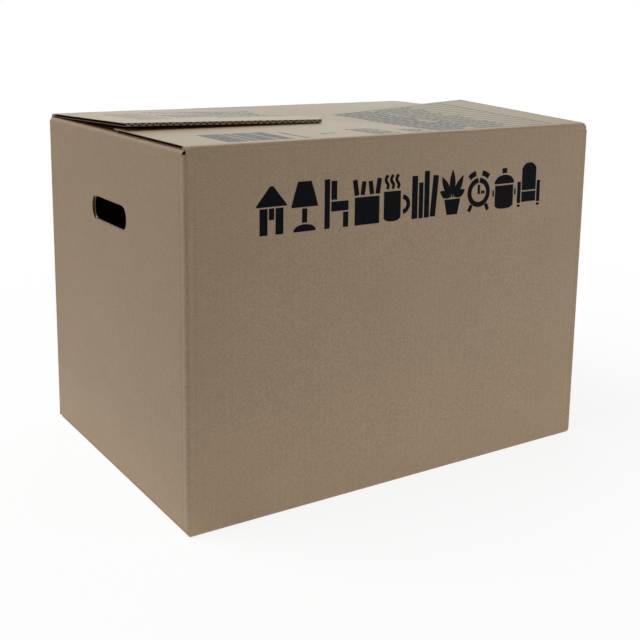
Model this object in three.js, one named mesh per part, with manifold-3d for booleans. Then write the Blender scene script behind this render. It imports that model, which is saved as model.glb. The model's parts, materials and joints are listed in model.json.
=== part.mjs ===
// A moving box of single-wall corrugated board, closed without tape.
// The two long top flaps interlock: each lies over the other on one half of the lid.
// Millimetres, +Z up. The origin is at the middle of the bottom, and the front wall is at -Y.
import * as THREE from "three";
import { mergeVertices } from "three/addons/utils/BufferGeometryUtils.js";
import Module from "manifold-3d";

const wasm = await Module();
wasm.setup();

// Outer size of the closed box, without what its flaps spring up.
const LENGTH = 490;
const DEPTH = 350;
const HEIGHT = 360;

// Board: two liners with a wavy medium between them. Its flutes run up the walls and on over the
// folds into the flaps.
const BOARD = 3.5;
const LINER = 0.45;
const MEDIUM = 0.3;
const FLUTE_PITCH = 7.3;
const CLEARANCE = 0.3;
const FOLD_STEPS = 4;

// How far the board is modelled hollow behind the cut edges of the long flaps.
const OPEN_FLUTE_DEPTH = 9; // at a free edge, which cuts across the flutes
const SIDE_HOLLOW = 1.8; // at a side edge, which runs with them
const EDGE_MARGIN = 0.6; // board left solid between the open flutes and a corner

// Long top flaps, measured from their fold lines.
const FLAP_OVERREACH = 38; // how far the deep half passes the middle of the lid
const FLAP_SHORTFALL = 10; // how far the short half stays off the middle of the lid
const FLAP_SIDE_INSET = 3;
const STEP_RUN = 16; // how far the diagonal step moves sideways from the middle to its end
const STEP_KERF = 1;
const FRONT_CORNER_LIFT = 11; // the front flap's free corner springs up
const BACK_CORNER_LIFT = 8;
const CROSSING_LIFT = 1.5; // the upper flap's free edge at the crossing
const CROSSING_SLOPE = 0.5; // how fast the crossing widens towards the fold

// Short top flaps, folded in under the long ones.
const END_FLAP_LENGTH = 165;
const END_FLAP_SAG = 4;
const END_FLAP_SIDE_GAP = 1.5;
const LID_GAP = 0.4; // between an end flap's fold and the long flaps on it

// Bottom flaps and the glued joint inside the back right corner.
const BOTTOM_SLIT = 1;
const BOTTOM_END_FLAP_LENGTH = 165;
const GLUE_TAB_WIDTH = 35;
const GLUE_TAB_BOARD = 2.4;
const GLUE_TAB_END_GAP = 14;

// Hand holes in the two short walls.
const HAND_HOLE_WIDTH = 90;
const HAND_HOLE_HEIGHT = 25;
const HAND_HOLE_DROP = 85; // from the lid down to the middle of the hole
const HAND_HOLE_CORNER = 11;

// Overlap that lets two solids of the same sheet join or cut cleanly.
const FUSE = 0.5;

// Cells of a long flap, as rows and columns on each side of where its halves meet.
const BASE_ROWS = 12;
const REACH_ROWS = 6;
const SHORT_COLUMNS = 10;
const DEEP_COLUMNS = 16;
const COLUMN_CROWDING = 1.4; // more than 1 draws the deep half's columns towards the crossing

const halfLength = LENGTH / 2;
const halfDepth = DEPTH / 2;
const endFoldTop = HEIGHT - BOARD - LID_GAP;
const endWallTop = endFoldTop - BOARD;
const endFlapSide = halfDepth - BOARD - END_FLAP_SIDE_GAP;
const longFlapSide = halfLength - FLAP_SIDE_INSET;
const deepReach = halfDepth + FLAP_OVERREACH;

// How far the lower flap dips at the crossing, taken at its deep reach, so that it clears the
// upper one where their overlap ends.
const crossingDip = ((BOARD + 2 * CLEARANCE - CROSSING_LIFT) * deepReach) / (halfDepth - FLAP_OVERREACH);

const kraft = new THREE.MeshStandardMaterial({ color: 0x8f7b62, roughness: 0.9, metalness: 0 });
const kraftLid = new THREE.MeshStandardMaterial({ color: 0xb0a68f, roughness: 0.9, metalness: 0 });

function solidOf(geometry) {
  const bare = new THREE.BufferGeometry();
  bare.setAttribute("position", geometry.getAttribute("position").clone());
  if (geometry.index) bare.setIndex(geometry.index.clone());
  const merged = mergeVertices(bare, 1e-4);
  const mesh = new wasm.Mesh({
    numProp: 3,
    vertProperties: new Float32Array(merged.getAttribute("position").array),
    triVerts: new Uint32Array(merged.index.array),
  });
  return new wasm.Manifold(mesh);
}

function meshOf(solid, name, material) {
  const { vertProperties, triVerts } = solid.getMesh();
  const geometry = new THREE.BufferGeometry();
  geometry.setAttribute("position", new THREE.BufferAttribute(new Float32Array(vertProperties), 3));
  geometry.setIndex(new THREE.BufferAttribute(new Uint32Array(triVerts), 1));
  geometry.computeVertexNormals();
  const mesh = new THREE.Mesh(geometry, material);
  mesh.name = name;
  return mesh;
}

function shapeOf(points) {
  return new THREE.Shape(points.map(([a, b]) => new THREE.Vector2(a, b)));
}

// A profile in the Y-Z plane, extruded along X from x0 to x1.
function alongX(points, x0, x1) {
  const geometry = new THREE.ExtrudeGeometry(shapeOf(points), { depth: x1 - x0, bevelEnabled: false });
  const axes = new THREE.Matrix4().makeBasis(
    new THREE.Vector3(0, 1, 0),
    new THREE.Vector3(0, 0, 1),
    new THREE.Vector3(1, 0, 0),
  );
  geometry.applyMatrix4(axes).translate(x0, 0, 0);
  return solidOf(geometry);
}

// A profile in the X-Z plane, extruded along Y from y0 to y1.
function extrudedAlongY(points, y0, y1) {
  const geometry = new THREE.ExtrudeGeometry(shapeOf(points), { depth: y1 - y0, bevelEnabled: false });
  return geometry.rotateX(Math.PI / 2).translate(0, y1, 0);
}

function box(x0, x1, y0, y1, z0, z1) {
  const geometry = new THREE.BoxGeometry(x1 - x0, y1 - y0, z1 - z0);
  geometry.translate((x0 + x1) / 2, (y0 + y1) / 2, (z0 + z1) / 2);
  return solidOf(geometry);
}

// A rectangle with rounded corners about a centre, as a closed outline.
function roundedRectangle(width, height, radius, centreY = 0) {
  const shape = new THREE.Shape();
  const a = width / 2;
  const b = height / 2;
  shape.absarc(a - radius, centreY - b + radius, radius, -Math.PI / 2, 0);
  shape.absarc(a - radius, centreY + b - radius, radius, 0, Math.PI / 2);
  shape.absarc(-a + radius, centreY + b - radius, radius, Math.PI / 2, Math.PI);
  shape.absarc(-a + radius, centreY - b + radius, radius, Math.PI, 1.5 * Math.PI);
  return shape;
}

// Points on a fold's outer arc, from one angle to another, in radians.
function foldArc(centreA, centreB, from, to) {
  return Array.from({ length: FOLD_STEPS + 1 }, (_, i) => {
    const angle = from + ((to - from) * i) / FOLD_STEPS;
    return [centreA + BOARD * Math.cos(angle), centreB + BOARD * Math.sin(angle)];
  });
}

// Four walls in one ring from z0 to z1, with the vertical folds rounded outside.
function wallRing(z0, z1) {
  const outer = new THREE.ExtrudeGeometry(roundedRectangle(LENGTH, DEPTH, BOARD), {
    depth: z1 - z0,
    bevelEnabled: false,
    curveSegments: FOLD_STEPS,
  });
  outer.translate(0, 0, z0);
  const inside = box(
    -halfLength + BOARD, halfLength - BOARD, -halfDepth + BOARD, halfDepth - BOARD, 0, HEIGHT,
  );
  return solidOf(outer).subtract(inside);
}

// Below the ring the vertical folds go on alone, between the bottom flaps' folds, down to the top
// of the long bottom flaps.
function cornerPosts() {
  return wallRing(BOARD, 2 * BOARD + FUSE)
    .subtract(box(-longFlapSide + FUSE, longFlapSide - FUSE, -DEPTH, DEPTH, 0, HEIGHT))
    .subtract(box(-LENGTH, LENGTH, -endFlapSide, endFlapSide, 0, HEIGHT));
}

// The front wall's upper edge: it rounds off and ends on the mitre where the long flap folds.
function longWallTop() {
  const y = -halfDepth + BOARD;
  const z = HEIGHT - BOARD;
  const arc = foldArc(y, z, Math.PI, 0.75 * Math.PI);
  const profile = [[y, endWallTop - FUSE], [y, z], ...arc.reverse(), [-halfDepth, endWallTop - FUSE]];
  return alongX(profile, -longFlapSide, longFlapSide);
}

// The left wall's upper edge with its end flap, which sags towards its free edge.
function endFlap() {
  const x = -halfLength + BOARD;
  const tip = -halfLength + END_FLAP_LENGTH;
  const arc = foldArc(x, endWallTop, Math.PI, 0.5 * Math.PI);
  const profile = [
    [x, endWallTop - FUSE],
    [x, endWallTop],
    [tip, endWallTop - END_FLAP_SAG],
    [tip, endFoldTop - END_FLAP_SAG],
    ...arc.reverse(),
    [-halfLength, endWallTop - FUSE],
  ];
  return solidOf(extrudedAlongY(profile, -endFlapSide, endFlapSide));
}

// The front wall's lower edge with its bottom flap, which reaches the slit in the middle.
function longBottomFlap() {
  const y = -halfDepth + BOARD;
  const arc = foldArc(y, BOARD, Math.PI, 1.5 * Math.PI);
  const profile = [
    [-halfDepth, 2 * BOARD + FUSE],
    ...arc,
    [-BOTTOM_SLIT / 2, 0],
    [-BOTTOM_SLIT / 2, BOARD],
    [y, BOARD],
    [y, 2 * BOARD + FUSE],
  ];
  return alongX(profile, -longFlapSide, longFlapSide);
}

// The left wall's lower edge with its bottom flap, glued on top of the long ones.
function shortBottomFlap() {
  const x = -halfLength + BOARD;
  const tip = -halfLength + BOTTOM_END_FLAP_LENGTH;
  const under = BOARD - FUSE / 10;
  const arc = foldArc(x, 2 * BOARD, Math.PI, 1.5 * Math.PI);
  const profile = [
    [-halfLength, 2 * BOARD + FUSE],
    ...arc,
    [x, under],
    [tip, under],
    [tip, 2 * BOARD],
    [x, 2 * BOARD],
    [x, 2 * BOARD + FUSE],
  ];
  return solidOf(extrudedAlongY(profile, -endFlapSide, endFlapSide));
}

// The strip of the back panel that is folded round and glued inside the right wall.
function glueTab() {
  const x = halfLength - BOARD;
  const y = halfDepth - BOARD;
  return box(
    x - GLUE_TAB_BOARD, x + FUSE, y - GLUE_TAB_WIDTH, y + FUSE,
    2 * BOARD + GLUE_TAB_END_GAP, endWallTop - BOARD - GLUE_TAB_END_GAP,
  );
}

function handHoles() {
  const outline = roundedRectangle(
    HAND_HOLE_WIDTH, HAND_HOLE_HEIGHT, HAND_HOLE_CORNER, HEIGHT - HAND_HOLE_DROP,
  );
  const geometry = new THREE.ExtrudeGeometry(outline, {
    depth: LENGTH + 2 * BOARD,
    bevelEnabled: false,
    curveSegments: 6,
  });
  const axes = new THREE.Matrix4().makeBasis(
    new THREE.Vector3(0, 1, 0),
    new THREE.Vector3(0, 0, 1),
    new THREE.Vector3(1, 0, 0),
  );
  geometry.applyMatrix4(axes).translate(-halfLength - BOARD, 0, 0);
  return solidOf(geometry);
}

function bothEnds(solid) {
  return solid.add(solid.rotate([0, 0, 180]));
}

function cartonBody() {
  return wallRing(2 * BOARD, endWallTop)
    .add(cornerPosts())
    .add(bothEnds(longWallTop()))
    .add(bothEnds(endFlap()))
    .add(bothEnds(longBottomFlap()))
    .add(bothEnds(shortBottomFlap()))
    .add(glueTab())
    .subtract(handHoles());
}

function smooth(value) {
  const s = Math.min(1, Math.max(0, value));
  return s * s * (3 - 2 * s);
}

// How far the front flap lies above (+) or below (-) its flat place, over one deep reach.
// Left of the diagonal step it dips under the back flap, and right of it it rises over it.
function flapLift(x, y, cornerLift) {
  const fromStep = x - (STEP_RUN / FLAP_OVERREACH) * y;
  const band = FLAP_SHORTFALL + CROSSING_SLOPE * Math.max(0, -y - FLAP_SHORTFALL);
  const above = smooth(((y + fromStep) / band + 1) / 2);
  const high = CROSSING_LIFT + (cornerLift - CROSSING_LIFT) * Math.max(0, x / longFlapSide);
  const low = -crossingDip * Math.min(1, 1 + x / longFlapSide);
  const share = Math.max(0, y + halfDepth) / deepReach;
  return (low + (high - low) * above) * share;
}

// Numbers from a to b, closer together towards a.
function spread(a, b, count, power = 1) {
  return Array.from({ length: count + 1 }, (_, i) => a + (b - a) * (i / count) ** power);
}

// The diagonal cut between the short and the deep half of the front flap.
function stepX(y) {
  return (STEP_RUN / FLAP_OVERREACH) * y + STEP_KERF / 2;
}

// The front flap as two matching grids of cells: the part that spans the whole width, and the
// part of the deep half that passes it. Each corner of a cell has an upper and a lower point.
function flapSolid(cornerLift) {
  const foldY = -halfDepth + BOARD;
  const foldZ = HEIGHT - BOARD;
  const mitre = CLEARANCE * Math.SQRT2;

  const arc = foldArc(foldY, foldZ, 0.75 * Math.PI - CLEARANCE / BOARD, 0.5 * Math.PI);
  const rootRows = arc.map(([y, z], i) => ({
    top: [y, z],
    under: [foldY + mitre + (i * CLEARANCE) / FOLD_STEPS, foldZ],
  }));
  const flatRow = (y) => ({ top: [y, HEIGHT], under: [y, foldZ] });
  const baseRows = spread(foldY + BOARD, -FLAP_SHORTFALL, BASE_ROWS).map(flatRow);
  const reachRows = spread(-FLAP_SHORTFALL, FLAP_OVERREACH, REACH_ROWS).map(flatRow);
  const left = spread(stepX(-FLAP_SHORTFALL), -longFlapSide, SHORT_COLUMNS).reverse();
  const rightShares = spread(0, 1, DEEP_COLUMNS, COLUMN_CROWDING);

  const position = [];
  const index = [];
  const sides = new Map();
  const rowPoints = (row, xs) => xs.map((x) => {
    const at = position.length / 3;
    const topLift = flapLift(x, row.top[0], cornerLift);
    const underLift = flapLift(x, row.under[0], cornerLift);
    position.push(x, row.top[0], row.top[1] + topLift, x, row.under[0], row.under[1] + underLift);
    return at;
  });
  const edge = (a, b) => {
    const back = `${b},${a}`;
    if (sides.has(back)) sides.delete(back);
    else sides.set(`${a},${b}`, [a, b]);
  };
  const fill = (rows) => {
    for (let r = 0; r + 1 < rows.length; r += 1) {
      for (let c = 0; c + 1 < rows[r].length; c += 1) {
        const [a, b, d, e] = [rows[r][c], rows[r][c + 1], rows[r + 1][c + 1], rows[r + 1][c]];
        index.push(a, b, d, a, d, e, a + 1, d + 1, b + 1, a + 1, e + 1, d + 1);
        [[a, b], [b, d], [d, e], [e, a]].forEach(([p, q]) => edge(p, q));
      }
    }
  };

  const acrossBase = [
    ...left,
    ...rightShares.slice(1).map((s) => {
      const start = stepX(-FLAP_SHORTFALL);
      return start + (longFlapSide - start) * s;
    }),
  ];
  const base = [...rootRows, ...baseRows].map((row) => rowPoints(row, acrossBase));
  const reach = reachRows.slice(1).map((row) => {
    const start = stepX(row.top[0]);
    return rowPoints(row, rightShares.map((s) => start + (longFlapSide - start) * s));
  });
  const shared = base[base.length - 1].slice(left.length - 1);
  fill(base);
  fill([shared, ...reach]);
  sides.forEach(([a, b]) => index.push(b, a, a + 1, b, a + 1, b + 1));

  const geometry = new THREE.BufferGeometry();
  geometry.setAttribute("position", new THREE.Float32BufferAttribute(position, 3));
  geometry.setIndex(index);
  return solidOf(geometry);
}

// A cut into the board of the front flap: a profile in the X-Z plane of the flat flap, extruded
// along Y and then lifted with the flap.
function boardCut(points, y0, y1, cornerLift) {
  const geometry = extrudedAlongY(points, y0, y1);
  const position = geometry.getAttribute("position");
  for (let i = 0; i < position.count; i += 1) {
    const [x, y, z] = [position.getX(i), position.getY(i), position.getZ(i)];
    position.setZ(i, z + flapLift(x, y, cornerLift));
  }
  return solidOf(geometry);
}

// The flutes that a free edge cuts open, from x0 to x1. Channels lie by turns under the upper liner
// and over the lower one, and what stays between them is the medium: flat where it is glued to a
// liner, for a quarter of the pitch, and sloping for the quarter between.
function openFlutes(x0, x1, edgeY, cornerLift) {
  const upper = HEIGHT - LINER;
  const lower = HEIGHT - BOARD + LINER;
  const slope = Math.atan2(upper - lower - MEDIUM, FLUTE_PITCH / 4);
  const inset = (MEDIUM / 2) * Math.tan(slope / 2);
  const wide = 0.375 * FLUTE_PITCH - inset;
  const narrow = 0.125 * FLUTE_PITCH - inset;
  const spacing = FLUTE_PITCH / 2;
  const first = Math.ceil((x0 + EDGE_MARGIN + wide) / spacing);
  const last = Math.floor((x1 - EDGE_MARGIN - wide) / spacing);
  return Array.from({ length: last - first + 1 }, (_, i) => {
    const x = (first + i) * spacing;
    const crest = (first + i) % 2 === 0;
    const profile = crest
      ? [[x - wide, lower], [x + wide, lower], [x + narrow, upper - MEDIUM], [x - narrow, upper - MEDIUM]]
      : [[x - narrow, lower + MEDIUM], [x + narrow, lower + MEDIUM], [x + wide, upper], [x - wide, upper]];
    return boardCut(profile, edgeY - OPEN_FLUTE_DEPTH, edgeY + FUSE, cornerLift);
  });
}

// The hollow between the liners along a side edge, from x0 to x1, up to the free edge.
function sideHollow(x0, x1, edgeY, cornerLift) {
  const upper = HEIGHT - LINER;
  const lower = HEIGHT - BOARD + LINER;
  const profile = [[x0, lower], [x1, lower], [x1, upper], [x0, upper]];
  return boardCut(profile, -halfDepth + 2 * BOARD, edgeY + FUSE, cornerLift);
}

function longFlap(cornerLift) {
  const hollowFrom = longFlapSide - SIDE_HOLLOW;
  const outside = longFlapSide + FUSE;
  return wasm.Manifold.difference([
    flapSolid(cornerLift),
    ...openFlutes(-hollowFrom, stepX(-FLAP_SHORTFALL), -FLAP_SHORTFALL, cornerLift),
    ...openFlutes(stepX(FLAP_OVERREACH), hollowFrom, FLAP_OVERREACH, cornerLift),
    sideHollow(-outside, -hollowFrom, -FLAP_SHORTFALL, cornerLift),
    sideHollow(hollowFrom, outside, FLAP_OVERREACH, cornerLift),
  ]);
}

const movingBox = new THREE.Group();
movingBox.add(meshOf(cartonBody(), "carton_body", kraft));
movingBox.add(meshOf(longFlap(FRONT_CORNER_LIFT), "front_flap", kraftLid));
movingBox.add(meshOf(longFlap(BACK_CORNER_LIFT).rotate([0, 0, 180]), "back_flap", kraftLid));

export default movingBox;
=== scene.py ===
"""A closed moving box of kraft single-wall board on a pale floor.

The board is built in its real layers at every cut edge that shows: two liners with the fluted
medium between them. Metres throughout, with the front wall at -Y. Each long flap of the lid is
worked out as if it were the front one, and the back one is then turned half round.
"""

import json
import math

import bpy
import numpy as np
from mathutils import Matrix, Vector


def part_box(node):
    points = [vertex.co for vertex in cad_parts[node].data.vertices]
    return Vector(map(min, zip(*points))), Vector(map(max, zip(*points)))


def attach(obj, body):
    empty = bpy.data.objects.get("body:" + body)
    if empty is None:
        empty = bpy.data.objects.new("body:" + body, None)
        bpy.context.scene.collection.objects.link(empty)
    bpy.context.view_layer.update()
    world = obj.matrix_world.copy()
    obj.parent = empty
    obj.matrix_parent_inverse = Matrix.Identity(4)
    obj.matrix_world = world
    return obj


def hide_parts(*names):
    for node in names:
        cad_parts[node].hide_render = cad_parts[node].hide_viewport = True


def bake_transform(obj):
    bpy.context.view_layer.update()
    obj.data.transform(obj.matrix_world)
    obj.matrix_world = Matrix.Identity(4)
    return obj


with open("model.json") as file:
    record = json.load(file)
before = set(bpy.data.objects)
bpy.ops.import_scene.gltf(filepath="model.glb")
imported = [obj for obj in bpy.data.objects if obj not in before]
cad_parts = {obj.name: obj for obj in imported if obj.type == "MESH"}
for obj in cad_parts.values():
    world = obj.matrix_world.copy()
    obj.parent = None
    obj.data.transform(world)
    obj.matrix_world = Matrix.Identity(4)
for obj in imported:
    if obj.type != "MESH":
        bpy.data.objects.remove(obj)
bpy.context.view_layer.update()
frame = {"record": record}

# Sizes that come from the frame.
MM = 0.001
HINGES = {j["name"]: j["pos_m"] for j in frame["record"]["behaviour"]["joints"]}
HALF_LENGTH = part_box("carton_body")[1][0]
HALF_DEPTH = HINGES["back_flap_fold"][1]
HEIGHT = HINGES["back_flap_fold"][2]

# Board: two liners and the fluted medium between them.
BOARD = 3.5 * MM
LINER = 0.45 * MM
MEDIUM = 0.6 * MM
FLUTE_PITCH = 7.3 * MM
FLUTE_SWING = (BOARD - 2 * LINER - MEDIUM) / 2
FLUTE_STEPS = 8  # places along one flute
FLUTE_SHOW = 4 * MM  # how far the open flutes are modelled behind a free edge
SIDE_HOLLOW = 3 * MM  # how far the core stays back along an edge that runs with the flutes
STEP_HOLLOW = 1 * MM  # how far it stays back along the diagonal step of a long flap
CRUSH = 2 * MM  # how far the lower liner stays back from a long flap's cut edges
CLEARANCE = 0.3 * MM

# Long flaps of the lid. A flap's deep half and its short half meet at a diagonal step. Its
# crossing is the height of its free edge in the lid's middle, where it meets the other flap.
SIDE_INSET = 3 * MM
FLAP_SIDE = HALF_LENGTH - SIDE_INSET
OVERREACH = 38 * MM  # how far the deep half reaches past the middle
SHORTFALL = 10 * MM  # how far the short half stays back from the middle
DEEP_REACH = HALF_DEPTH + OVERREACH
STEP_SLOPE = 16 / 38
STEP_KERF = 1 * MM
STEP_CUT_INSET = 0.1 * MM
STEP_CUT_THICKNESS = 0.8 * MM
CROSSING_SLOPE = 0.5
FRONT_CORNER = 11 * MM
FRONT_CROSSING = -2.4 * MM
BACK_CORNER = 8 * MM
BACK_CROSSING = 2.4 * MM

# Long folds.
FOLD_ZONE = 10 * MM  # length of board on each side of a long fold that is built as part of it
LONG_FOLD_CORNER = 0.06 * BOARD  # radius left inside the fold
LONG_FOLD_PLACES = 150
FOLD_END_PLACES = np.array([9, 7, 5, 3.5, 2.2, 1, 0]) * MM  # measured from the fold's end
FOLD_SCORE_DEPTH = 0.3 * MM
FOLD_SCORE_PLACE = 6 * MM
FOLD_WANDER = 0.12 * MM
FOLD_WEAR = 1.5 * MM
FOLD_WEAR_LENGTH = 9 * MM

# End flaps, bottom flaps and the glued side joint.
LID_GAP = 0.4 * MM
END_WALL_TOP = HEIGHT - 2 * BOARD - LID_GAP
END_FLAP_LENGTH = 165 * MM
END_FLAP_SAG = 5.6 * MM  # how far the end flap's tip hangs down, clear of the long flaps
END_FLAP_SIDE_GAP = 1.5 * MM
END_SIDE = HALF_DEPTH - BOARD - END_FLAP_SIDE_GAP
END_TIP = -HALF_LENGTH + END_FLAP_LENGTH
BOTTOM_SLIT = 1 * MM
FOLD_CORNER = 0.05 * BOARD  # radius left inside a short fold
FLAP_PLACES = 18
BOTTOM_PLACES = 20
SWEEP_PLACES = 40
GLUE_TAB_WIDTH = 35 * MM
GLUE_TAB_BOARD = 2.4 * MM
GLUE_TAB_END_GAP = 14 * MM

# Hand holes.
HOLE_HALF_WIDTH = 45 * MM
HOLE_HALF_HEIGHT = 12.5 * MM
HOLE_CORNER = 11 * MM
HOLE_CENTRE = HEIGHT - 85 * MM
HOLE_RECESS = 5 * MM  # how far the board is hollow behind the hole's edge
HOLE_FLUTE_INSET = 4 * MM  # how far the flutes stay back from the hole's ends
CUT_REACH = 3 * BOARD

# Walls.
LONG_WALL = 2 * (HALF_LENGTH - BOARD)
END_WALL = 2 * (HALF_DEPTH - BOARD)
LONG_WALL_TOP = HEIGHT - FOLD_ZONE
WALL_THICKNESS = 0.97 * BOARD
WALL_BULGE = 1.3 * MM
END_BULGE = 0.6 * MM
WALL_WAVE = 0.15 * MM
SCORE_DEPTH = 0.4 * MM
SCORE_PLACE = 5 * MM
SCORE_WIDTH = 1.4 * MM
EDGE_STEP = 0.1 * MM  # width in which a short wall's lower edge steps up beside its bottom flap
NEAR_FOLD = np.array([3, 4, 5, 6, 7, 8.5, 11, 15, 20]) * MM  # places beside a vertical fold
CELL = 6 * MM
WALL_ROWS = 62

# Print. A film of ink is drawn thicker than it is, so that it stays clear of the paper.
INK = 0.08 * MM
INK_CELL = 4 * MM
FRONT_PRINT_WIDTH = 353 * MM
FRONT_PRINT_BASE = 275 * MM

# Meshes.
ARC_STEPS = 8
STROKE_PLACES = 12
ARC_STROKE_STEPS = 30
SMOOTH_ANGLE = math.radians(32)  # an edge with a larger angle is shaded as a sharp one


def index_quads(index):
    """Four-cornered faces of a grid of vertex numbers, anticlockwise where rows cross columns."""
    return np.stack(
        [index[:-1, :-1], index[:-1, 1:], index[1:, 1:], index[1:, :-1]], axis=-1
    ).reshape(-1, 4)


def slab(outer, inner, quads):
    """A closed solid: the quads on the outer points, the same ones turned over on the inner
    points, and a wall along each edge that only one quad has."""
    count = len(outer)
    edges = quads[:, [0, 1, 1, 2, 2, 3, 3, 0]].reshape(-1, 2)
    forward = edges[:, 0] * count + edges[:, 1]
    backward = edges[:, 1] * count + edges[:, 0]
    rim = edges[~np.isin(forward, backward)]
    walls = np.stack([rim[:, 1], rim[:, 0], rim[:, 0] + count, rim[:, 1] + count], axis=-1)
    return np.concatenate([outer, inner]), np.concatenate([quads, quads[:, ::-1] + count, walls])


def grid_slab(outer, inner):
    """A slab between two grids of points, each of shape rows, columns, 3."""
    index = np.arange(outer.shape[0] * outer.shape[1]).reshape(outer.shape[:2])
    return slab(outer.reshape(-1, 3), inner.reshape(-1, 3), index_quads(index))


def half_turn(solid):
    """The solid turned half round the box's upright axis."""
    points, faces = solid
    return points * [-1, -1, 1], faces


def both_ways(solids):
    """Each solid, followed by itself turned half round."""
    return [turned for solid in solids for turned in (solid, half_turn(solid))]


def arc_points(centre, start_angle, end_angle, radius, steps=ARC_STEPS):
    """Points of an arc in a section."""
    angle = np.linspace(start_angle, end_angle, steps + 1)
    return np.asarray(centre) + radius * np.stack([np.cos(angle), np.sin(angle)], axis=-1)


def line_points(start, end, count):
    """Evenly spaced points from start up to but not including the end."""
    share = np.linspace(0, 1, count + 1)[:-1, None]
    return np.asarray(start) + (np.asarray(end) - np.asarray(start)) * share


def make_piece(name, solids, material, body):
    """One object of several closed solids, smooth but for its real edges, riding on a body."""
    offsets = np.cumsum([0] + [len(points) for points, _ in solids])
    points = np.concatenate([points for points, _ in solids])
    faces = np.concatenate([faces + start for (_, faces), start in zip(solids, offsets)])
    mesh = bpy.data.meshes.new(name)
    mesh.from_pydata(points.tolist(), [], faces.tolist())
    mesh.shade_smooth()
    mesh.set_sharp_from_angle(angle=SMOOTH_ANGLE)
    mesh.materials.append(material)
    piece = bpy.data.objects.new(name, mesh)
    bpy.context.collection.objects.link(piece)
    if body:
        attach(piece, body)
    return piece


# Colours and materials.

WHITE = (1, 1, 1, 1)


def linear(hex_colour):
    """A linear RGBA colour from an sRGB hex value such as 8f7b62."""
    values = [int(hex_colour[i:i + 2], 16) / 255 for i in (0, 2, 4)]
    return [v / 12.92 if v <= 0.04045 else ((v + 0.055) / 1.055) ** 2.4 for v in values] + [1]


def add(tree, kind, inputs=None, **settings):
    """Adds a node: settings are its properties, and inputs are values or sockets to link from."""
    node = tree.nodes.new(kind)
    for key, value in settings.items():
        setattr(node, key, value)
    for key, value in (inputs or {}).items():
        if isinstance(value, bpy.types.NodeSocket):
            tree.links.new(value, node.inputs[key])
        else:
            node.inputs[key].default_value = value
    return node


def calculate(tree, operation, *values):
    """The result of a Math node."""
    return add(tree, "ShaderNodeMath", dict(enumerate(values)), operation=operation).outputs[0]


def remap(tree, value, low, high, at_low=0.0, at_high=1.0):
    """A straight change from one result to another while the value goes from low to high."""
    inputs = {0: value, 1: low, 2: high, 3: at_low, 4: at_high}
    return add(tree, "ShaderNodeMapRange", inputs).outputs[0]


def mix_colours(tree, share, first, second):
    """The first colour with a share of the second."""
    return add(tree, "ShaderNodeMix", {0: share, 6: first, 7: second}, data_type="RGBA").outputs[2]


def new_material(name, inputs):
    """A material with a Principled shader that has the given inputs, with its tree and shader."""
    material = bpy.data.materials.new(name)
    material.use_nodes = True
    tree = material.node_tree
    tree.nodes.clear()
    shader = add(tree, "ShaderNodeBsdfPrincipled", inputs)
    add(tree, "ShaderNodeOutputMaterial", {"Surface": shader.outputs[0]})
    return material, tree, shader


def kraft_paper(name, pale, dark, washboard=1.0):
    """Unbleached kraft liner, machine-finished and uncoated. It is matt, with a dull sheen at a
    low angle, a cloudy formation, a fine tooth and a few bark specks. The flutes behind it show
    as a faint washboard along X, or along Y on the short walls."""
    material, tree, shader = new_material(name, {"Roughness": 0.6, "Specular IOR Level": 0.4})
    coords = add(tree, "ShaderNodeTexCoord").outputs
    place = coords["Object"]

    # The formation is 60 mm clouds, 8 mm flocks and a tooth of fibre ends. The tooth is 0.5 mm in
    # life, and is drawn three times as coarse, so that it shows.
    tone = -0.2
    heights = []
    for scale, detail, weight in ((16, 3, 0.16), (125, 3, 0.24), (640, 2, 1.0)):
        noise = add(tree, "ShaderNodeTexNoise", {"Vector": place, "Scale": scale, "Detail": detail})
        heights.append(noise.outputs[0])
        tone = calculate(tree, "MULTIPLY_ADD", heights[-1], weight, tone)

    # The washboard lies along Y wherever the paper faces along X.
    split = add(tree, "ShaderNodeSeparateXYZ", {0: place}).outputs
    facing = add(tree, "ShaderNodeSeparateXYZ", {0: coords["Normal"]}).outputs
    end = calculate(tree, "GREATER_THAN", calculate(tree, "ABSOLUTE", facing[0]), 0.7)
    along = add(tree, "ShaderNodeMix", {0: end, 2: split[0], 3: split[1]}).outputs[0]
    flutes = calculate(tree, "COSINE", calculate(tree, "MULTIPLY", along, math.tau / FLUTE_PITCH))
    tone = calculate(tree, "MULTIPLY_ADD", flutes, 0.016 * washboard, tone)
    base = mix_colours(tree, tone, linear(dark), linear(pale))

    # Bark specks: one cell of the pattern in about a hundred has one.
    cells = add(tree, "ShaderNodeTexVoronoi", {"Vector": place, "Scale": 170}).outputs
    lot = add(tree, "ShaderNodeSeparateColor", {0: cells["Color"]}).outputs[0]
    chosen = calculate(tree, "GREATER_THAN", lot, 0.99)
    near = calculate(tree, "LESS_THAN", cells["Distance"], 0.15)
    faint = calculate(tree, "MULTIPLY", calculate(tree, "MULTIPLY", chosen, near), 0.45)
    colour = mix_colours(tree, faint, base, linear("4f4132"))
    tree.links.new(colour, shader.inputs["Base Color"])

    tooth = add(tree, "ShaderNodeBump", {"Height": heights[-1], "Strength": 0.2, "Distance": 0.15 * MM})
    ridges = add(tree, "ShaderNodeBump",
                 {"Height": flutes, "Normal": tooth.outputs[0],
                  "Strength": 0.5 * washboard, "Distance": 0.04 * MM})
    tree.links.new(ridges.outputs[0], shader.inputs["Normal"])
    return material


def painted_shade_material(name, colour):
    """Painted shade: a flat near-black colour for the inside of the board behind its open flutes, which
    gets no light.
    """
    inputs = {"Base Color": linear(colour), "Roughness": 1.0, "Specular IOR Level": 0.0}
    return new_material(name, inputs)[0]


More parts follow.
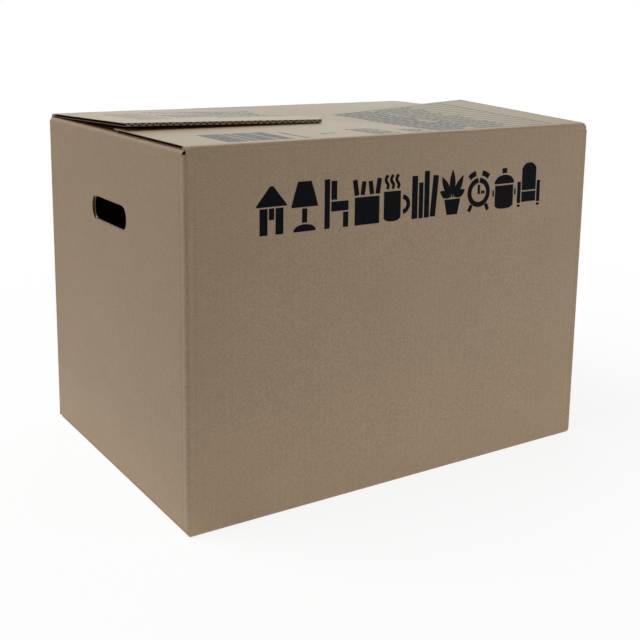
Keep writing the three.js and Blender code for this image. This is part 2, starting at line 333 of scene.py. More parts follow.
def printing_ink(name, full, thin, sheen):
    """Water-based flexographic ink on kraft: matt and sunk into the paper, and a little thinner
    where the fibres stand proud."""
    material, tree, shader = new_material(name, {"Roughness": 0.65, "Specular IOR Level": sheen})
    place = add(tree, "ShaderNodeTexCoord").outputs["Object"]
    grain = add(tree, "ShaderNodeTexNoise", {"Vector": place, "Scale": 520, "Detail": 3})
    share = remap(tree, grain.outputs[0], 0.5, 0.8)
    tree.links.new(mix_colours(tree, share, linear(full), linear(thin)), shader.inputs["Base Color"])
    return material


LINER_PAPER = kraft_paper("kraft_liner", "9f896d", "6f5d48")
MEDIUM_PAPER = kraft_paper("kraft_fluting", "d2c9b3", "b5aa92", washboard=0)
# Painted shade for the board's core, which stands for the dark inside its open flutes.
PAINTED_HOLLOW_SHADE = painted_shade_material("hollow_of_the_board", "17120d")
BLACK_INK = printing_ink("black_flexo_ink", "04070c", "12110f", 0.04)
# The lid's ink is dark grey rather than black: a painted sheen, as the lid is seen at a low angle.
LID_INK = printing_ink("worn_flexo_ink", "33393d", "66655e", 0.3)


# The lid.

def smooth(value):
    """A smooth rise from 0 to 1: 3 s^2 - 2 s^3, with s the value held between 0 and 1."""
    share = np.clip(value, 0, 1)
    return share * share * (3 - 2 * share)


def dip_under(lift):
    """How far a flap dips at the crossing, taken at its deep reach, to pass under a flap with the
    given lift there."""
    return (BOARD + 2 * CLEARANCE - lift) * DEEP_REACH / (HALF_DEPTH - OVERREACH)


class LongFlap:
    """The set of a long flap: how far its free corner springs up, how high its free edge lies at
    the crossing, and how far its short half dips under the other flap."""

    def __init__(self, corner, crossing, other_crossing):
        self.corner = corner
        self.crossing = crossing
        self.dip = dip_under(other_crossing)

    def lift(self, x, y):
        """Height above the flap's flat place. It grows in a straight line from the fold to the
        deep reach. Right of the diagonal step it goes to the crossing height plus a straight rise
        to the sprung corner, left of it to a dip that fades towards the side, with a smooth change
        between them that widens towards the fold."""
        from_step = x - STEP_SLOPE * y
        band = SHORTFALL + CROSSING_SLOPE * np.maximum(0, -y - SHORTFALL)
        above = smooth(((y + from_step) / band + 1) / 2)
        high = self.crossing + (self.corner - self.crossing) * np.maximum(0, x / FLAP_SIDE)
        low = -self.dip * np.minimum(1, 1 + x / FLAP_SIDE)
        share = np.maximum(0, y + HALF_DEPTH) / DEEP_REACH
        return (low + (high - low) * above) * share

    def point(self, x, y, depth):
        """Points of the flap at a depth under its upper face."""
        return np.stack([x, y, HEIGHT + self.lift(x, y) - depth], axis=-1)


FRONT_FLAP = LongFlap(FRONT_CORNER, FRONT_CROSSING, BACK_CROSSING)
BACK_FLAP = LongFlap(BACK_CORNER, BACK_CROSSING, FRONT_CROSSING)


def step_line(y):
    """The diagonal cut between a flap's short and deep half: a straight line."""
    return STEP_SLOPE * y + STEP_KERF / 2


def flap_layer(flap, top, bottom, side_back=0.0, edge_back=0.0, step_back=0.0):
    """A layer of the flap between two depths. Its outline is the flap's, drawn back by the given
    amounts at the sides, the free edges and the step: a grid over the whole width up to the short
    half's edge, joined to a second grid for what the deep half adds."""
    side = FLAP_SIDE - side_back
    short = -SHORTFALL - edge_back
    deep = OVERREACH - edge_back
    left_count, right_count, base_rows, reach_rows = 58, 62, 40, 12
    start = step_line(short) + step_back
    columns = np.concatenate(
        [np.linspace(-side, start, left_count)[:-1], np.linspace(start, side, right_count)]
    )
    base_x, base_y = np.meshgrid(columns, np.linspace(-HALF_DEPTH + FOLD_ZONE, short, base_rows))
    reach_y = np.linspace(short, deep, reach_rows + 1)[1:, None]
    reach_start = step_line(reach_y) + step_back
    reach_x = reach_start + (side - reach_start) * np.linspace(0, 1, right_count)
    x = np.concatenate([base_x.ravel(), reach_x.ravel()])
    y = np.concatenate([base_y.ravel(), np.broadcast_to(reach_y, reach_x.shape).ravel()])

    base = np.arange(base_x.size).reshape(base_x.shape)
    reach = base_x.size + np.arange(reach_x.size).reshape(reach_x.shape)
    reach = np.concatenate([base[-1:, left_count - 1:], reach])
    quads = np.concatenate([index_quads(base), index_quads(reach)])
    return slab(flap.point(x, y, top), flap.point(x, y, bottom), quads)


def flute_places(start, end):
    """Places along an edge, several to a flute."""
    return np.linspace(start, end, int((end - start) / FLUTE_PITCH * FLUTE_STEPS) + 1)


def fluted_strip(point, u, v_from, v_to):
    """The fluted medium behind a cut edge, from v_from to v_to. Its depth in the board is a cosine
    of u. point gives the places of u, v and a depth."""
    v = np.stack([v_from + 0 * u, v_to + 0 * u])
    u = np.broadcast_to(u, v.shape)
    depth = BOARD / 2 - FLUTE_SWING * np.cos(math.tau * u / FLUTE_PITCH)
    return grid_slab(point(u, v, depth - MEDIUM / 2), point(u, v, depth + MEDIUM / 2))


def flap_flutes(flap):
    """The open flutes of the short half's edge and of the deep half's."""
    side = FLAP_SIDE - SIDE_HOLLOW
    spans = (
        (-side, step_line(-SHORTFALL), -SHORTFALL),
        (step_line(OVERREACH) + CLEARANCE, side, OVERREACH),
    )
    return [
        fluted_strip(flap.point, flute_places(start, end), edge - FLUTE_SHOW, edge)
        for start, end, edge in spans
    ]


def step_cut(flap):
    """The cut along the diagonal step, where the die has pressed the medium flat."""
    y, depth = np.broadcast_arrays(
        np.linspace(-SHORTFALL, OVERREACH, 16), [[LINER], [BOARD - LINER]]
    )
    start = step_line(y) + STEP_CUT_INSET
    return grid_slab(
        flap.point(start, y, depth), flap.point(start + STEP_CUT_THICKNESS, y, depth)
    )


def fold_section():
    """The board's section across the front wall's upper fold, from the wall over to the flap, as
    outer and inner points in Y and Z: a quarter circle about the sharp inner corner."""
    centre = (-HALF_DEPTH + BOARD, HEIGHT - BOARD)
    outer_arc = arc_points(centre, math.pi, math.pi / 2, BOARD)
    inner_arc = arc_points(centre, math.pi, math.pi / 2, LONG_FOLD_CORNER)
    reach = np.linspace(FOLD_ZONE, BOARD, 6)[:-1]
    wall = np.stack([np.full(reach.shape, -HALF_DEPTH), HEIGHT - reach], axis=-1)
    flap = np.stack([-HALF_DEPTH + reach[::-1], np.full(reach.shape, HEIGHT)], axis=-1)
    outer = np.concatenate([wall, outer_arc, flap])
    inner = np.concatenate([wall + [BOARD, 0], inner_arc, flap - [0, BOARD]])
    return outer, inner


def long_fold(flap):
    """The bending board along the front fold, swept over its whole length. A shallow score lies
    beside the bend on both sides, the crease wanders a little as a sum of three sines, and its
    ends are worn round."""
    outer, inner = fold_section()
    near = FLAP_SIDE - FOLD_END_PLACES
    middle = np.linspace(-near[0], near[0], LONG_FOLD_PLACES)[1:-1]
    x = np.concatenate([-near[::-1], middle, near])
    wander = FOLD_WANDER * (np.sin(x * 47) + 0.6 * np.sin(x * 131 + 1) + 0.4 * np.sin(x * 310 + 2))
    worn = FOLD_WEAR * np.clip((np.abs(x) - FLAP_SIDE) / FOLD_WEAR_LENGTH + 1, 0, 1) ** 2

    def sweep(section, score):
        y = section[:, :1] + 0 * x
        z = section[:, 1:] + 0 * x
        from_edge = np.hypot(y + HALF_DEPTH, z - HEIGHT)
        groove = score * np.exp(-((from_edge - FOLD_SCORE_PLACE) / SCORE_WIDTH) ** 2)
        on_arc = np.exp(-(from_edge / BOARD) ** 2)
        above = z > HEIGHT - BOARD
        y = y + np.where(above, 0, groove) + (0.5 * worn - wander) * on_arc
        z = z - np.where(above, groove, 0) + (wander - worn) * on_arc + flap.lift(x, y)
        return np.stack([x + 0 * y, y, z], axis=-1)

    return grid_slab(sweep(outer, FOLD_SCORE_DEPTH), sweep(inner, 0))


# Print on the lid. Fields are x0, y0, x1, y1 in millimetres on the flap as if it were the front
# one. Nothing in them can be read: lines of small print are rows of short bars.

def ink_grid(u0, u1, low, high):
    """Places on a field between two curves over u, in cells no larger than an ink cell."""
    u = np.linspace(u0, u1, max(2, int(abs(u1 - u0) / INK_CELL) + 2))
    low = np.broadcast_to(low(u) if callable(low) else low, u.shape)
    high = np.broadcast_to(high(u) if callable(high) else high, u.shape)
    rows = max(2, int(np.max(high - low) / INK_CELL) + 2)
    share = np.linspace(0, 1, rows)[:, None]
    return np.broadcast_to(u, (rows, u.size)), low + (high - low) * share


def ink_stroke(u, v, width):
    """Places on a ribbon along a path: the path's points moved to both sides along its normals."""
    du, dv = np.gradient(u), np.gradient(v)
    length = np.hypot(du, dv)
    side = np.array([[-0.5], [0.5]]) * width
    return u - side * dv / length, v + side * du / length


def ink_film(point, grid):
    """A film of ink on a surface, sunk into the paper by a part of its thickness."""
    return grid_slab(point(*grid, -INK), point(*grid, INK / 2))


def bar(x0, y0, x1, y1):
    """A rectangle in millimetres, as an ink grid."""
    return ink_grid(x0 * MM, x1 * MM, y0 * MM, y1 * MM)


def small_print(field, pitch, height, seed, upright=False):
    """Rows of short bars of uneven length in a field. Upright rows run along y."""
    x0, y0, x1, y1 = field if not upright else (field[1], field[0], field[3], field[2])
    random = np.random.default_rng(seed)
    grids = []
    for row in np.arange(y0, y1 - height, pitch):
        x = x0
        end = x1 - random.uniform(0, 0.35) * (x1 - x0) * (random.random() < 0.4)
        while x < end - 4:
            word = min(random.uniform(4, 13), end - x)
            if upright:
                grids.append(bar(row, x, row + height, x + word))
            else:
                grids.append(bar(x, row, x + word, row + height))
            x += word + random.uniform(1.8, 3)
    return grids


def ruled_table(field, rows, columns, width):
    """The rules of a table, evenly spaced along y, with uprights at the given places in x. The
    films of the rules and the uprights stay a little apart."""
    x0, y0, x1, y1 = field
    levels = np.linspace(y0, y1, rows + 1)
    half = width / 2
    apart = 0.1
    rules = [bar(x0, y - half, x1, y + half) for y in levels]
    for x in columns:
        for lower, upper in zip(levels, levels[1:]):
            rules.append(bar(x - half, lower + half + apart, x + half, upper - half - apart))
    return rules


def striped_block(field, seed):
    """A block of upright stripes of uneven width, in groups."""
    x0, y0, x1, y1 = field
    random = np.random.default_rng(seed)
    grids = []
    x = x0
    while x < x1 - 3:
        wide = random.uniform(0.8, 3.4)
        grids.append(bar(x, y0, x + wide, y1))
        x += wide + random.choice([0.7, 1.0, 3.2], p=[0.5, 0.4, 0.1])
    return grids


def front_flap_print():
    """A large ruled table at the right, a small one in the middle, and stripes at the left."""
    table = (42, -163, 200, 28)
    rows = 15
    pitch = (table[3] - table[1]) / rows
    return (
        striped_block((-195, -160, -122, -97), 3)
        + small_print((-113, -160, -107, -108), 7, 4, 5, upright=True)
        + small_print((-80, -136, -58, -128), 9, 4, 6)
        + ruled_table((-34, -163, -5, -108), 3, (-34, -5), 1.4)
        + small_print((-31, -158, -8, -112), 6, 3, 7)
        + small_print((13, -163, 36, -128), 6, 3, 8)
        + ruled_table(table, rows, (table[0], 98, table[2]), 1.5)
        + small_print((table[0] + 3, table[1] + 3.4, 95, table[3]), pitch, 6.4, 9)
        + small_print((101, table[1] + 3.4, 150, table[3]), pitch, 4.2, 10)
    )


def back_flap_print():
    """A narrow ruled table by the flap's side, and a block of small print beside it."""
    table = (168, -116, 203, -14)
    return (
        ruled_table(table, 6, (table[0], 180, 192, table[2]), 0.9)
        + small_print((16, -128, 160, -8), 13, 5.5, 11)
    )


def make_flap(node, body, flap, marks, turn):
    """A long flap with its fold and its print. turn places the front flap's solids."""
    liners = [flap_layer(flap, 0, LINER), flap_layer(flap, BOARD - LINER, BOARD, CRUSH, CRUSH)]
    filling = flap_layer(flap, LINER, BOARD - LINER, SIDE_HOLLOW, FLUTE_SHOW, STEP_HOLLOW)
    medium = flap_flutes(flap) + [step_cut(flap)]
    films = [ink_film(flap.point, grid) for grid in marks]
    board = make_piece(f"{node}_liners", [turn(s) for s in liners], LINER_PAPER, body)
    # The core is a solid coloured with painted shade, for the dark hollows between the liners.
    core = make_piece(f"{node}_core", [turn(filling)], PAINTED_HOLLOW_SHADE, body)
    flutes = make_piece(f"{node}_medium", [turn(s) for s in medium], MEDIUM_PAPER, body)
    ink = make_piece(f"{node}_print", [turn(s) for s in films], LID_INK, body)
    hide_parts(node)
    fold = make_piece(f"{node}_fold", [turn(long_fold(flap))], LINER_PAPER, None)
    ends = np.array([[0, -HALF_DEPTH, HEIGHT - BOARD], [0, -HALF_DEPTH + BOARD, HEIGHT]])
    start, end = turn((ends, None))[0]
    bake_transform(fold)


make_flap("front_flap", "front_lid_flap", FRONT_FLAP, front_flap_print(), lambda solid: solid)
make_flap("back_flap", "back_lid_flap", BACK_FLAP, back_flap_print(), half_turn)


# The carton.

def wall_stations(length):
    """Places along a wall from one vertical fold to the next: close together by the scores."""
    near = np.array([0, END_FLAP_SIDE_GAP - EDGE_STEP, END_FLAP_SIDE_GAP, *NEAR_FOLD])
    middle = np.linspace(near[-1], length - near[-1], int(length / CELL) - 4)
    return np.concatenate([near[:-1], middle, length - near[-2::-1]])


def panel_out(s, share, z, length, bulge):
    """How far a wall stands out from flat, s along it and at a share of its height: a swell that
    is a sine both ways, less a score beside each vertical fold, plus a slow waviness, about
    100 mm from crest to crest."""
    up = np.sin(math.pi * np.clip(share, 0, 1))
    score = sum(np.exp(-((d - SCORE_PLACE) / SCORE_WIDTH) ** 2) for d in (s, length - s))
    wave = WALL_WAVE * np.sin(z * 61 + s * 9)
    along = np.sin(math.pi * np.clip(s / length, 0, 1))
    return (bulge * along + wave * np.minimum(1, 4 * along)) * up - SCORE_DEPTH * score * up ** 0.2


def wall_share(z):
    """The share of the long walls' height at z."""
    return (z - BOARD) / (LONG_WALL_TOP - BOARD)


def wall_ring():
    """The four walls in one closed ring. Around it goes a rounded rectangle. Up it goes from the
    bottom folds to the top folds, which lie at other heights on the short walls and corners."""
    # A part has rows for x, y, outward x and y, the lower and upper end, the place along the wall,
    # the wall's length and its bulge. A corner is on no wall, so its place along one is -1.
    parts = []
    for side in range(4):
        long_wall = side % 2 == 0
        length, across = (LONG_WALL, END_WALL) if long_wall else (END_WALL, LONG_WALL)
        turn = side * math.pi / 2
        tangent = np.array([math.cos(turn), math.sin(turn)])
        normal = np.array([math.sin(turn), -math.cos(turn)])
        start = normal * (across / 2 + BOARD) - tangent * length / 2
        s = wall_stations(length)
        panel = start + tangent * s[:, None]
        margin = END_FLAP_SIDE_GAP - EDGE_STEP / 2
        over_flap = (s > margin) & (s < length - margin) & (not long_wall)
        low = np.where(over_flap, 2 * BOARD, BOARD)
        high = np.full(s.shape, LONG_WALL_TOP if long_wall else END_WALL_TOP)
        bulge = WALL_BULGE if long_wall else END_BULGE
        ones = np.ones(s.shape)
        parts.append(np.stack(
            [panel[:, 0], panel[:, 1], normal[0] * ones, normal[1] * ones, low, high, s,
             length * ones, bulge * ones]
        ))
        angle = turn - math.pi / 2 + np.linspace(0, math.pi / 2, ARC_STEPS + 1)[1:-1]
        centre = start + tangent * length - normal * BOARD
        ones = np.ones(angle.shape)
        parts.append(np.stack(
            [centre[0] + BOARD * np.cos(angle), centre[1] + BOARD * np.sin(angle), np.cos(angle),
             np.sin(angle), BOARD * ones, END_WALL_TOP * ones, -1 * ones, ones, 0 * ones]
        ))
    x, y, nx, ny, low, high, s, length, bulge = np.concatenate(parts, axis=1)
    z = low + (high - low) * np.linspace(0, 1, WALL_ROWS)[:, None]
    out = np.where(s < 0, 0, panel_out(s, wall_share(z), z, length, bulge))
    back = out - WALL_THICKNESS
    outer = np.stack([x + nx * out, y + ny * out, z], axis=-1)
    inner = np.stack([x + nx * back, y + ny * back, z], axis=-1)
    index = np.arange(z.size).reshape(z.shape)
    index = np.concatenate([index, index[:, :1]], axis=1)
    return slab(outer.reshape(-1, 3), inner.reshape(-1, 3), index_quads(index))


def front_wall(x, z, depth):
    """Points at a depth under the front wall's face."""
    out = panel_out(x + LONG_WALL / 2, wall_share(z), z, LONG_WALL, WALL_BULGE)
    return np.stack([x, -HALF_DEPTH - out + depth, z], axis=-1)


def left_wall(u, z, depth):
    """Points at a depth under the left wall's face, with u towards the front."""
    out = panel_out(END_WALL / 2 + u, wall_share(z), z, END_WALL, END_BULGE)
    return np.stack([-HALF_LENGTH - out + depth, -u, z], axis=-1)


def swept(outer, inner, half_width, along_x=False):
    """A slab with the given section, swept across the middle. The section is in X and Z and goes
    along -Y, or in Y and Z and goes along X."""
    w = np.linspace(-half_width, half_width, SWEEP_PLACES)
    grids = []
    for section in (outer, inner):
        a, z = section[:, :1] + 0 * w, section[:, 1:] + 0 * w
        other = w + 0 * a
        grids.append(np.stack([other, a, z] if along_x else [a, -other, z], axis=-1))
    return grid_slab(*grids)


def layered(outer, inner):
    """An end flap as liners and core, swept along -Y. The core stays back from the sides, and it
    ends at the section's last point but one, where the open flutes begin."""
    share = LINER / BOARD
    upper = outer + (inner - outer) * share
    lower = inner + (outer - inner) * share
    liners = [swept(outer, upper, END_SIDE), swept(lower, inner, END_SIDE)]
    return liners, swept(upper[:-1], lower[:-1], END_SIDE - SIDE_HOLLOW)


def end_flap_top(x):
    """Height of the left end flap's upper face: a straight slope down to its tip."""
    return END_WALL_TOP + BOARD - END_FLAP_SAG * (x + HALF_LENGTH - BOARD) / (END_FLAP_LENGTH - BOARD)


def end_flap():
    """The left wall's top fold and its end flap, which slopes down to its free edge: liners, and
    core with open flutes at the tip."""
    centre = (-HALF_LENGTH + BOARD, END_WALL_TOP)
    x = np.append(np.linspace(centre[0], END_TIP - FLUTE_SHOW, FLAP_PLACES)[1:], END_TIP)
    flap = np.stack([x, end_flap_top(x)], axis=-1)
    outer = np.concatenate([arc_points(centre, math.pi, math.pi / 2, BOARD), flap])
    inner = np.concatenate([arc_points(centre, math.pi, math.pi / 2, FOLD_CORNER), flap - [0, BOARD]])
    liners, core = layered(outer, inner)

    def point(u, v, depth):
        return np.stack([v, -u, end_flap_top(v) - depth], axis=-1)

    flutes = fluted_strip(point, flute_places(-END_SIDE, END_SIDE), END_TIP - FLUTE_SHOW, END_TIP)
    return liners, core, flutes


def bottom_flap(half, base, tip, half_width, along_x=False):
    """A bottom fold and flap on the negative side: the wall turns in through a quarter circle and
    runs flat to the tip."""
    centre = (-half + BOARD, base + BOARD)
    outer_arc = arc_points(centre, 1.5 * math.pi, math.pi, BOARD)
    inner_arc = arc_points(centre, 1.5 * math.pi, math.pi, FOLD_CORNER)
    outer_line = line_points((tip, base), (centre[0], base), BOTTOM_PLACES)
    inner_line = line_points((tip, base + BOARD), centre, BOTTOM_PLACES)
    outer = np.concatenate([outer_line, outer_arc])
    inner = np.concatenate([inner_line, inner_arc])
    return swept(outer, inner, half_width, along_x)


def glue_tab():
    """The glued strip inside the right wall by the back corner."""
    x = HALF_LENGTH - BOARD - GLUE_TAB_BOARD
    y = np.linspace(HALF_DEPTH - BOARD, HALF_DEPTH - BOARD - GLUE_TAB_WIDTH, 6)
    z = np.linspace(2 * BOARD + GLUE_TAB_END_GAP, END_WALL_TOP - BOARD - GLUE_TAB_END_GAP, 12)
    y, z = np.meshgrid(y, z)
    faces = [np.stack([x + shift + 0 * y, y, z], axis=-1) for shift in (0, GLUE_TAB_BOARD)]
    return grid_slab(*faces)


def hole_outline(grow):
    """A hand hole's outline in Y and Z: a rectangle with round corners, grown by an amount."""
    a, b = HOLE_HALF_WIDTH - HOLE_CORNER, HOLE_HALF_HEIGHT - HOLE_CORNER
    corners = [(a, -b, -0.5), (a, b, 0), (-a, b, 0.5), (-a, -b, 1)]
    return np.concatenate([
        arc_points((y, HOLE_CENTRE + z), turns * math.pi, (turns + 0.5) * math.pi, HOLE_CORNER + grow)
        for y, z, turns in corners
    ])


def cut_through(piece, outline, x_from, x_to):
    """Cuts a prism with the outline, from x_from to x_to, out of the piece."""
    count = len(outline)
    points = [[x, y, z] for x in (x_from, x_to) for y, z in outline]
    ring = [[i, (i + 1) % count, count + (i + 1) % count, count + i] for i in range(count)]
    caps = [list(range(count))[::-1], list(range(count, 2 * count))]
    mesh = bpy.data.meshes.new("cutter")
    mesh.from_pydata(points, [], ring + caps)
    cutter = bpy.data.objects.new("cutter", mesh)
    bpy.context.collection.objects.link(cutter)
    boolean = piece.modifiers.new("cut", "BOOLEAN")
    boolean.operation = "DIFFERENCE"
    boolean.solver = "EXACT"
    boolean.object = cutter
    graph = bpy.context.evaluated_depsgraph_get()
    cut = bpy.data.meshes.new_from_object(piece.evaluated_get(graph))
    piece.modifiers.clear()
    piece.data = cut
    bpy.data.objects.remove(cutter)


def hole_half(u, grow):
    """Half the height of the hand hole's grown outline at u, and nothing past its ends."""
    radius = HOLE_CORNER + grow
    over = np.maximum(0, np.abs(u) - (HOLE_HALF_WIDTH - HOLE_CORNER))
    rise = HOLE_HALF_HEIGHT - HOLE_CORNER + np.sqrt(np.maximum(0, radius**2 - over**2))
    return np.where(np.abs(u) < HOLE_HALF_WIDTH + grow, rise, 0)


def hole_flutes():
    """The medium in the recess round the left hand hole: above the hole's outline and below it."""
    reach = HOLE_HALF_WIDTH - HOLE_FLUTE_INSET
    u = flute_places(-reach, reach)
    near, far = hole_half(u, 0), hole_half(u, HOLE_RECESS)
    above = fluted_strip(left_wall, u, HOLE_CENTRE + near, HOLE_CENTRE + far)
    below = fluted_strip(left_wall, u, HOLE_CENTRE - far, HOLE_CENTRE - near)
    return [above, below]


def make_walls():
    """The ring of walls. Each hand hole is cut through it, and behind the hole's edge the board is
    cut hollow between its liners."""
    ring = make_piece("carton_walls", [wall_ring()], LINER_PAPER, None)
    hole_out = END_BULGE * math.sin(math.pi * wall_share(HOLE_CENTRE))
    for sign in (-1, 1):
        face = sign * (HALF_LENGTH + hole_out)
        between = sorted([face - sign * LINER, face - sign * (BOARD - LINER)])
        cut_through(ring, hole_outline(0), face - CUT_REACH, face + CUT_REACH)
        cut_through(ring, hole_outline(HOLE_RECESS), *between)
    ring.data.set_sharp_from_angle(angle=SMOOTH_ANGLE)
    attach(ring, "carton")
    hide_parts("carton_body")
    return ring


walls = make_walls()
flap_liners, flap_core, flap_medium = end_flap()
flaps = flap_liners + [
    bottom_flap(HALF_DEPTH, 0.0, -BOTTOM_SLIT / 2, FLAP_SIDE, along_x=True),
    bottom_flap(HALF_LENGTH, BOARD, END_TIP, END_SIDE),
]
folds = make_piece("carton_folded_flaps", both_ways(flaps) + [glue_tab()], LINER_PAPER, "carton")
medium = make_piece("carton_medium", both_ways([flap_medium] + hole_flutes()), MEDIUM_PAPER, "carton")
# The core is a solid coloured with painted shade, for the dark hollows between the liners.
core = make_piece("carton_core", both_ways([flap_core]), PAINTED_HOLLOW_SHADE, "carton")


# Print on the front wall: a row of ten bold pictograms of household goods, cut as for a stencil.
# Each is drawn in millimetres, in a cell that is 33 wide about its middle and 47 high.

def rounded_top(u, half, base, rise):
    """An elliptic top over a base, zero at the ends of the half width."""
    return base + rise * np.sqrt(np.maximum(0, 1 - (u / half) ** 2))


def field(u0, u1, low, high):
    """A field between curves in millimetres, as an ink grid."""
    def scaled(curve):
        return (lambda u: MM * curve(u / MM)) if callable(curve) else curve * MM
    return ink_grid(u0 * MM, u1 * MM, scaled(low), scaled(high))


def stroke(u, v, width):
    """A ribbon through the given points in millimetres."""
    at = np.linspace(0, len(u) - 1, STROKE_PLACES)
    path = [np.interp(at, range(len(u)), p) * MM for p in (u, v)]
    return ink_stroke(*path, width * MM)


def arc_stroke(centre, radius, start, end, width):
    """A ribbon along an arc, with its angles in degrees."""
    angles = (math.radians(start), math.radians(end))
    u, v = (arc_points(centre, *angles, radius, ARC_STROKE_STEPS) * MM).T
    return ink_stroke(u, v, width * MM)


def leaf(u, v, angle, length, width):
    """A pointed leaf: a ribbon along a straight line, with a half width that is a sine."""
    share = np.linspace(0, 1, STROKE_PLACES)
    a = math.radians(angle)
    wide = width * (0.08 + np.sin(math.pi * share))
    return ink_stroke(
        (u + length * share * math.cos(a)) * MM, (v + length * share * math.sin(a)) * MM, wide * MM
    )


def house():
    return [
        field(-16, 16, 26, lambda u: 27.5 + 19.5 * (1 - np.abs(u) / 16)),
        bar(-12.5, 0, -4.2, 24.6),
        bar(4.2, 0, 12.5, 24.6),
        bar(-2.8, 14, 2.8, 24.6),
    ]


def table_lamp():
    return [
        field(-14.5, 14.5, 23, lambda u: np.minimum(47, 24 + (14.5 - np.abs(u)) * 3.4)),
        bar(-2.8, 8.2, 2.8, 21.6),
        field(-12, 12, 0, lambda u: rounded_top(u, 12.2, 1.5, 5.3)),
    ]


def chair():
    return [
        bar(-13.5, 0, -7.5, 47),
        bar(-6, 27, 0.5, 45),
        bar(-6, 16, 13.5, 25.4),
        bar(7.5, 0, 13.5, 14.6),
    ]


def open_carton():
    return [
        bar(-14.5, 0, 14.5, 27),
        stroke([-12, -14.4], [29, 44], 5.4),
        stroke([12, 14.4], [29, 44], 5.4),
        stroke([-5.6, -3.6], [29, 42], 5),
        stroke([5.6, 3.6], [29, 42], 5),
    ]


def mug():
    steam = np.linspace(0, 1, STROKE_PLACES)
    return [
        field(-15.5, 5, lambda u: 4 - rounded_top(u + 5.25, 10.5, 0, 4), 30),
        arc_stroke((7, 16), 7.4, -84, 84, 4.6),
        *[stroke(c + 1.5 * np.sin(7 * steam), 32.5 + 13.5 * steam, 3.4) for c in (-12, -5.5, 1)],
    ]


def books():
    return [
        bar(-16.5, 0, -9.3, 43),
        bar(-7.9, 0, -2.4, 36),
        bar(-1, 0, 5.4, 47),
        stroke([9.8, 13.6], [0.3, 42], 7),
    ]


def potted_plant():
    pot = field(-10.5, 10.5, lambda u: np.maximum(0, (np.abs(u) - 7) * 4.6), 16)
    leaves = ((90, 28.5), (61, 25), (119, 25), (30, 14.5), (150, 14.5))
    return [pot] + [leaf(0.06 * (90 - angle), 17.6, angle, length, 7) for angle, length in leaves]


def alarm_clock():
    return [
        arc_stroke((0, 20), 12.6, 94, 446, 5.4),
        bar(-1.7, 18.4, 1.7, 28),
        bar(3, 18.4, 8, 21.6),
        arc_stroke((0, 20), 20.4, 50, 78, 5.6),
        arc_stroke((0, 20), 20.4, 102, 130, 5.6),
        stroke([-9.6, -13], [7.6, 1], 4.4),
        stroke([9.6, 13], [7.6, 1], 4.4),
    ]


def cooking_pot():
    return [
        field(-12.8, 12.8, lambda u: 4 - rounded_top(u, 13, 0, 4), 25),
        bar(-16.4, 14, -14.2, 20.5),
        bar(14.2, 14, 16.4, 20.5),
        field(-13.6, 13.6, 26.6, lambda u: rounded_top(u, 13.8, 28, 8)),
        bar(-3.4, 37.6, 3.4, 43),
    ]


def armchair():
    return [
        field(-10.2, 10.2, 17.4, lambda u: rounded_top(u, 10.6, 39, 8)),
        bar(-16.5, 4, -11.6, 27),
        bar(11.6, 4, 16.5, 27),
        bar(-10.2, 5, 10.2, 16),
        bar(-16, 0, -12, 2.6),
        bar(12, 0, 16, 2.6),
    ]


PICTOGRAMS = (
    house, table_lamp, chair, open_carton, mug, books, potted_plant, alarm_clock, cooking_pot, armchair
)
front_films = []
for number, pictogram in enumerate(PICTOGRAMS):
    middle = FRONT_PRINT_WIDTH * ((number + 0.5) / len(PICTOGRAMS) - 0.5)
    for u, v in pictogram():
        front_films.append(ink_film(front_wall, (u + middle, v + FRONT_PRINT_BASE)))
front_print = make_piece("carton_front_print", front_films, BLACK_INK, "carton")


# Floor, light and camera.

FLOOR_HALF = 8.0


def make_floor():
    """A pale floor. To the camera it is mostly plain white, wholly so further off, and it keeps the
    box's shadow. Near the box it also glows for diffuse rays: a glow that stands in for light thrown up
    at the walls, beyond what its lit surface throws."""
    material, tree, shader = new_material(
        "pale_floor", {"Base Color": linear("f6f6f5"), "Roughness": 0.9}
    )
    place = add(tree, "ShaderNodeTexCoord").outputs["Object"]
    distance = add(tree, "ShaderNodeVectorMath", {0: place}, operation="LENGTH").outputs["Value"]
    rays = add(tree, "ShaderNodeLightPath").outputs
    white = calculate(tree, "MULTIPLY", rays["Is Camera Ray"], remap(tree, distance, 0.4, 1.1, 0.86, 1))
    glow = add(tree, "ShaderNodeEmission", {"Color": WHITE, "Strength": 1.0})
    plain = add(tree, "ShaderNodeMixShader", {0: white, 1: shader.outputs[0], 2: glow.outputs[0]})
    # A glow near the box, seen only by diffuse rays, that stands in for light thrown up at the walls.
    lit = calculate(tree, "MULTIPLY", remap(tree, distance, 0.3, 0.8, 1, 0), rays["Is Diffuse Ray"])
    bounce = add(tree, "ShaderNodeEmission", {"Color": WHITE, "Strength": lit})
    mixed = add(tree, "ShaderNodeAddShader", {0: plain.outputs[0], 1: bounce.outputs[0]})
    output = next(n for n in tree.nodes if n.bl_idname == "ShaderNodeOutputMaterial")
    tree.links.new(mixed.outputs[0], output.inputs["Surface"])

    corners = [(x * FLOOR_HALF, y * FLOOR_HALF, 0) for x, y in ((-1, -1), (1, -1), (1, 1), (-1, 1))]
    mesh = bpy.data.meshes.new("floor")
    mesh.from_pydata(corners, [], [(0, 1, 2, 3)])
    mesh.materials.append(material)
    floor = bpy.data.objects.new("floor", mesh)
    bpy.context.collection.objects.link(floor)


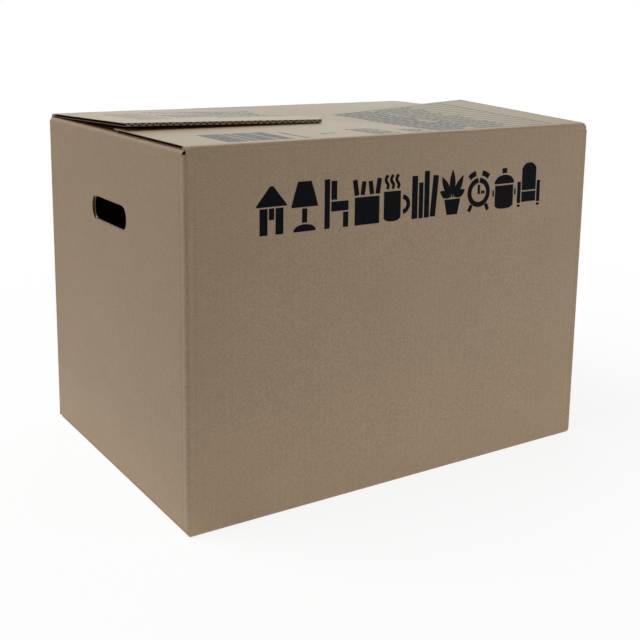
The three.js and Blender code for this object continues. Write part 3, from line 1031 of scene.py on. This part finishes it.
def make_world():
    """An even, dim light from all round, and plain white for rays that look at the backdrop."""
    world = bpy.data.worlds.new("studio")
    bpy.context.scene.world = world
    world.use_nodes = True
    tree = world.node_tree
    tree.nodes.clear()
    rays = add(tree, "ShaderNodeLightPath").outputs
    seen = calculate(tree, "MAXIMUM", rays["Is Camera Ray"], rays["Is Glossy Ray"])
    seen = calculate(tree, "MAXIMUM", seen, rays["Is Transmission Ray"])
    ambient = add(tree, "ShaderNodeBackground", {"Color": WHITE, "Strength": 0.24})
    backdrop = add(tree, "ShaderNodeBackground", {"Color": WHITE, "Strength": 1.0})
    choose = add(tree, "ShaderNodeMixShader",
                 {0: seen, 1: ambient.outputs[0], 2: backdrop.outputs[0]})
    add(tree, "ShaderNodeOutputWorld", {"Surface": choose.outputs[0]})


def soft_light(name, place, size, watts, colour=(1, 1, 1)):
    """A square softbox at a place, turned to the middle of the box."""
    light = bpy.data.lights.new(name, "AREA")
    light.color = colour
    light.shape = "SQUARE"
    light.size = size
    light.energy = watts
    lamp = bpy.data.objects.new(name, light)
    lamp.location = place
    direction = np.array([0, 0, HEIGHT / 2]) - np.array(place)
    lamp.rotation_mode = "QUATERNION"
    lamp.rotation_quaternion = Vector(direction).to_track_quat("-Z", "Y")
    lamp.visible_camera = False
    bpy.context.collection.objects.link(lamp)


make_floor()
make_world()
soft_light("key_softbox", place=(-1.25, 0.4, 2.7), size=1.8, watts=62)
soft_light("fill_softbox", place=(1.1, -1.3, 0.3), size=0.9, watts=9)
soft_light("back_softbox", place=(1.1, 1.7, 0.75), size=1.6, watts=16, colour=(0.8, 1, 0.99))

# The camera stands low at the front left, near the box. Its angles were worked out from the
# corners of the box in the photograph. The lens is shifted down a little, so that the camera
# looks down less steeply and the uprights stay nearly parallel.
CAMERA_PLACE = (-0.6247, -0.9713, 0.4672)
CAMERA_YAW = 33.063
CAMERA_PITCH = 10.776
CAMERA_ROLL = -0.800
LENS_PIXELS = 1036.5
FRAME_PIXELS = 640
LENS_SHIFT = -0.16
SENSOR = 36.0


def make_camera():
    """The scene's camera. Yaw is from +Y towards +X and pitch is downwards, in degrees."""
    data = bpy.data.cameras.new("camera")
    data.sensor_width = SENSOR
    data.lens = LENS_PIXELS / FRAME_PIXELS * SENSOR
    data.shift_y = LENS_SHIFT
    camera = bpy.data.objects.new("camera", data)
    camera.location = CAMERA_PLACE
    camera.rotation_mode = "QUATERNION"
    yaw, pitch, roll = (math.radians(a) for a in (CAMERA_YAW, CAMERA_PITCH, CAMERA_ROLL))
    forward = Vector(
        (math.sin(yaw) * math.cos(pitch), math.cos(yaw) * math.cos(pitch), -math.sin(pitch))
    )
    level = forward.to_track_quat("-Z", "Y")
    tilt = Matrix.Rotation(-roll, 4, "Z").to_quaternion()
    camera.rotation_quaternion = level @ tilt
    bpy.context.collection.objects.link(camera)
    bpy.context.scene.camera = camera


make_camera()
bpy.context.scene.view_settings.view_transform = "Standard"
